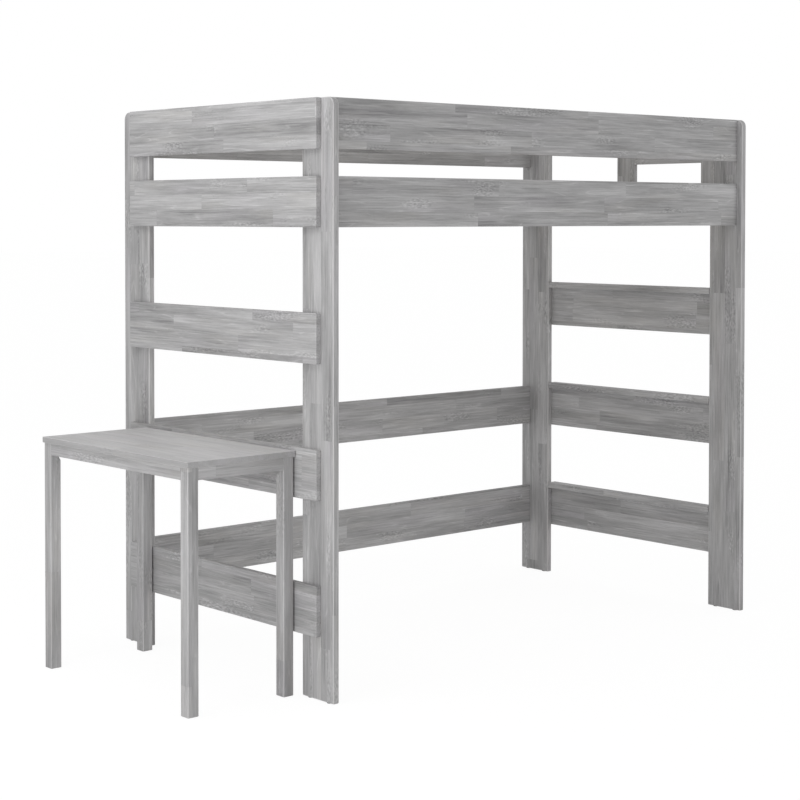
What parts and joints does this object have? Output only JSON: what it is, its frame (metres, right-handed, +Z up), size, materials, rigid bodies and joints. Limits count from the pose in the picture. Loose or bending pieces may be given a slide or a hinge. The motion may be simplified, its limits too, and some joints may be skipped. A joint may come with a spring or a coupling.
{
  "type": "loft bed with desk",
  "caption": "High wooden loft bed with slatted end panels, a ladder end with a climbing opening, guard rails and a small free-standing four-legged desk at one end.",
  "frame": {"origin": "on the floor, below the middle of the overall box of bed and desk, with the desk pushed up to the bed", "axes": "+X along the bed from the desk end to the ladder end, +Y from the front to the back, +Z up"},
  "size_m": [2.411, 1.1, 1.8],
  "materials": {
    "washed_wood": "matt grey-washed, staved hardwood",
    "deck_wood": "plain unfinished softwood",
    "zinc_steel": "zinc-plated",
    "nylon": "matt"
  },
  "bodies": {
    "bed": {"post_front_left": "washed_wood", "post_back_left": "washed_wood", "post_front_right": "washed_wood", "post_back_right": "washed_wood", "left_slat_1": "washed_wood", "left_slat_2": "washed_wood", "left_slat_3": "washed_wood", "left_slat_4": "washed_wood", "left_slat_5": "washed_wood", "right_slat_2": "washed_wood", "right_slat_3": "washed_wood", "right_slat_4": "washed_wood", "right_slat_5": "washed_wood", "guard_board": "washed_wood", "guard_stile_front": "washed_wood", "guard_stile_back": "washed_wood", "ladder_tread_3": "washed_wood", "ladder_tread_4": "washed_wood", "ladder_tread_5": "washed_wood", "front_rail_top": "washed_wood", "front_rail_bed": "washed_wood", "back_rail_top": "washed_wood", "back_rail_bed": "washed_wood", "back_rail_middle": "washed_wood", "back_rail_low": "washed_wood", "cleat_front": "washed_wood", "cleat_back": "washed_wood", "deck_slat_1": "deck_wood", "deck_slat_2": "deck_wood", "deck_slat_3": "deck_wood", "deck_slat_4": "deck_wood", "deck_slat_5": "deck_wood", "deck_slat_6": "deck_wood", "deck_slat_7": "deck_wood", "deck_slat_8": "deck_wood", "deck_slat_9": "deck_wood", "deck_slat_10": "deck_wood", "deck_slat_11": "deck_wood", "deck_slat_12": "deck_wood", "rail_hook_plates": "zinc_steel", "post_keeper_plates": "zinc_steel", "plate_screws": "zinc_steel", "deck_screws": "zinc_steel", "end_panel_dowels": "deck_wood", "guard_screws": "zinc_steel", "post_glides": "nylon"},
    "desk": {"desk_top": "washed_wood", "desk_apron_outer": "washed_wood", "desk_apron_inner": "washed_wood", "desk_apron_front": "washed_wood", "desk_apron_back": "washed_wood", "desk_leg_outer_front": "washed_wood", "desk_leg_outer_back": "washed_wood", "desk_leg_inner_front": "washed_wood", "desk_leg_inner_back": "washed_wood", "desk_corner_brackets": "zinc_steel", "desk_hanger_bolts": "zinc_steel", "desk_flange_nuts": "zinc_steel", "desk_screws": "zinc_steel", "desk_glides": "nylon"}
  },
  "joints": [
    {"name": "desk_slide", "type": "slide", "parent": "bed", "child": "desk", "axis": [-1, 0, 0], "range_m": [0, 0.6]}
  ]
}
